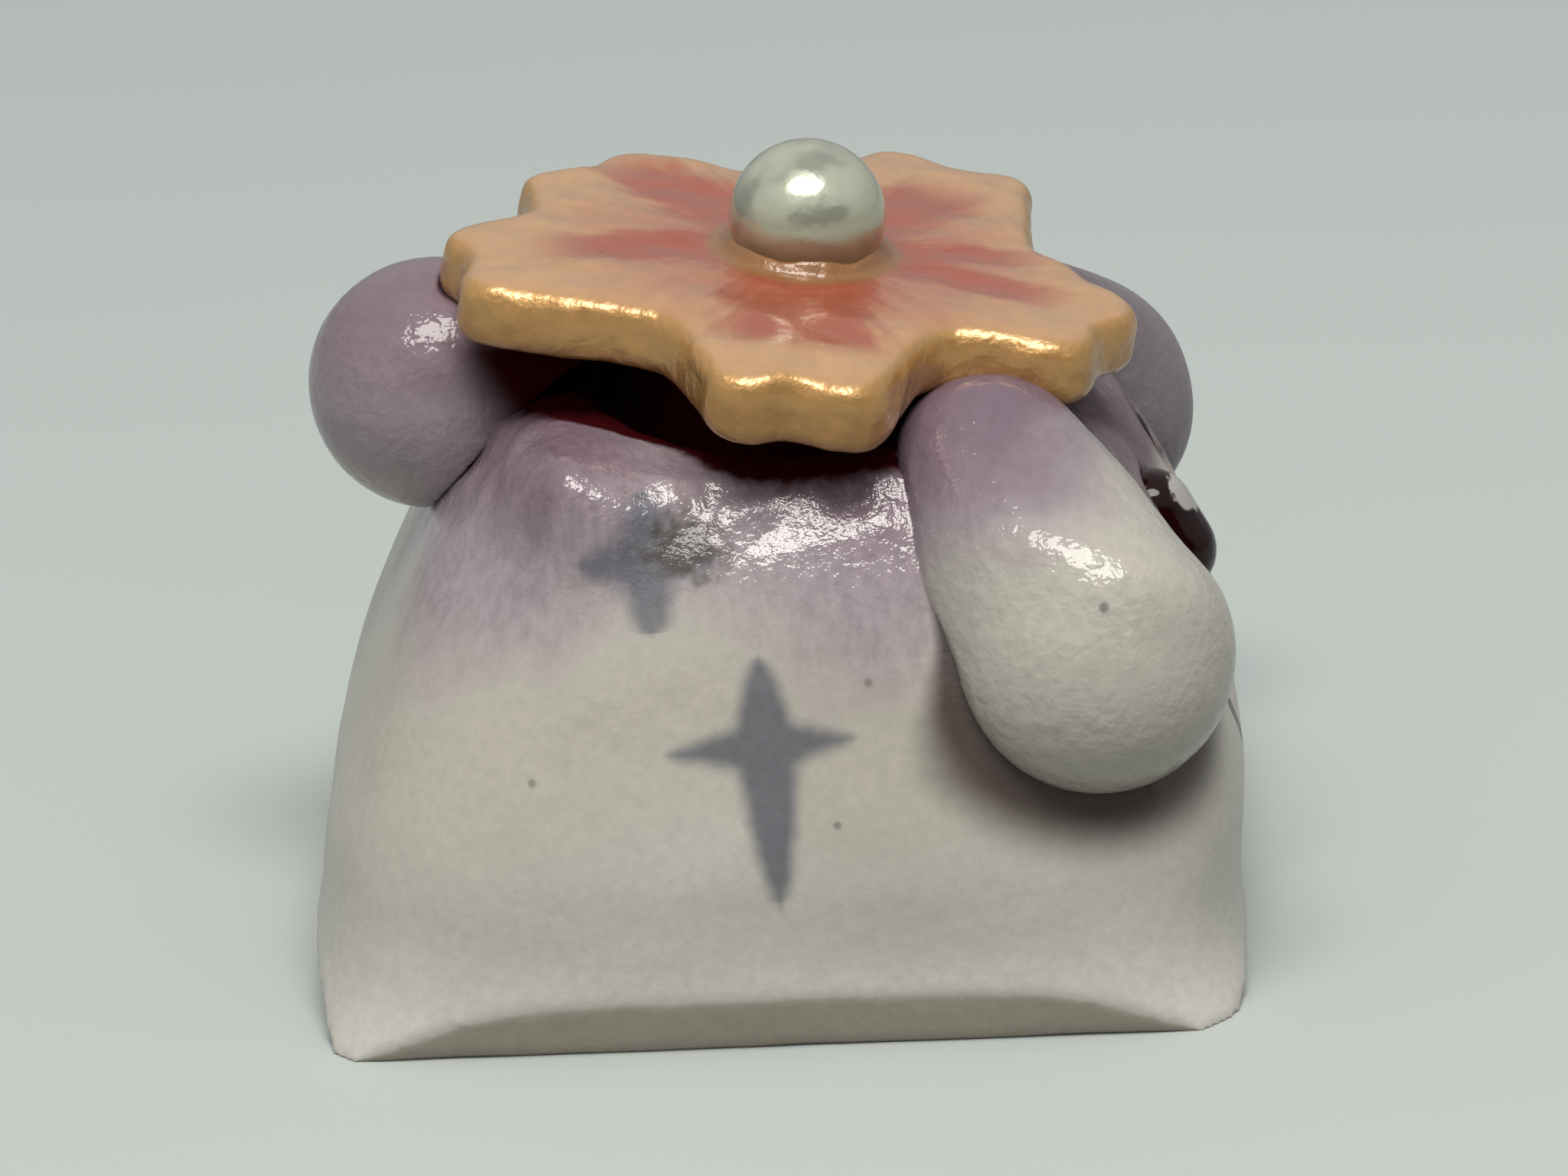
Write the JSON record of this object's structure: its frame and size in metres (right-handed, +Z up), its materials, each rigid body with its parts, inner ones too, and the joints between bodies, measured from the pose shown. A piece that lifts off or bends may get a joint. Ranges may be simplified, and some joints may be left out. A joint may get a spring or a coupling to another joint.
{
  "type": "artisan keycap",
  "caption": "Hand-made one-unit keycap: a hollow dome with drooping ears, a flower set with a pearly bead on its crown, and a cross-shaped stem socket below.",
  "frame": {"origin": "on the axis of the cross-shaped stem socket, in the plane of the rim", "axes": "+Z up out of the crown; the face looks along -Y; the right ear is on the -X side"},
  "size_m": [0.0184, 0.0177, 0.0151],
  "materials": {
    "clay": "varnished polymer clay, cream fading to lavender",
    "flower_clay": "varnished polymer clay, peach with golden edges",
    "pearl": "pearlescent lacquer",
    "eye": "high gloss"
  },
  "bodies": {
    "root": {"body": "clay", "right_ear": "clay", "left_ear": "clay", "back_lobe": "clay", "flower": "flower_clay", "pearl": "pearl", "right_eye": "eye", "left_eye": "eye"}
  },
  "joints": []
}
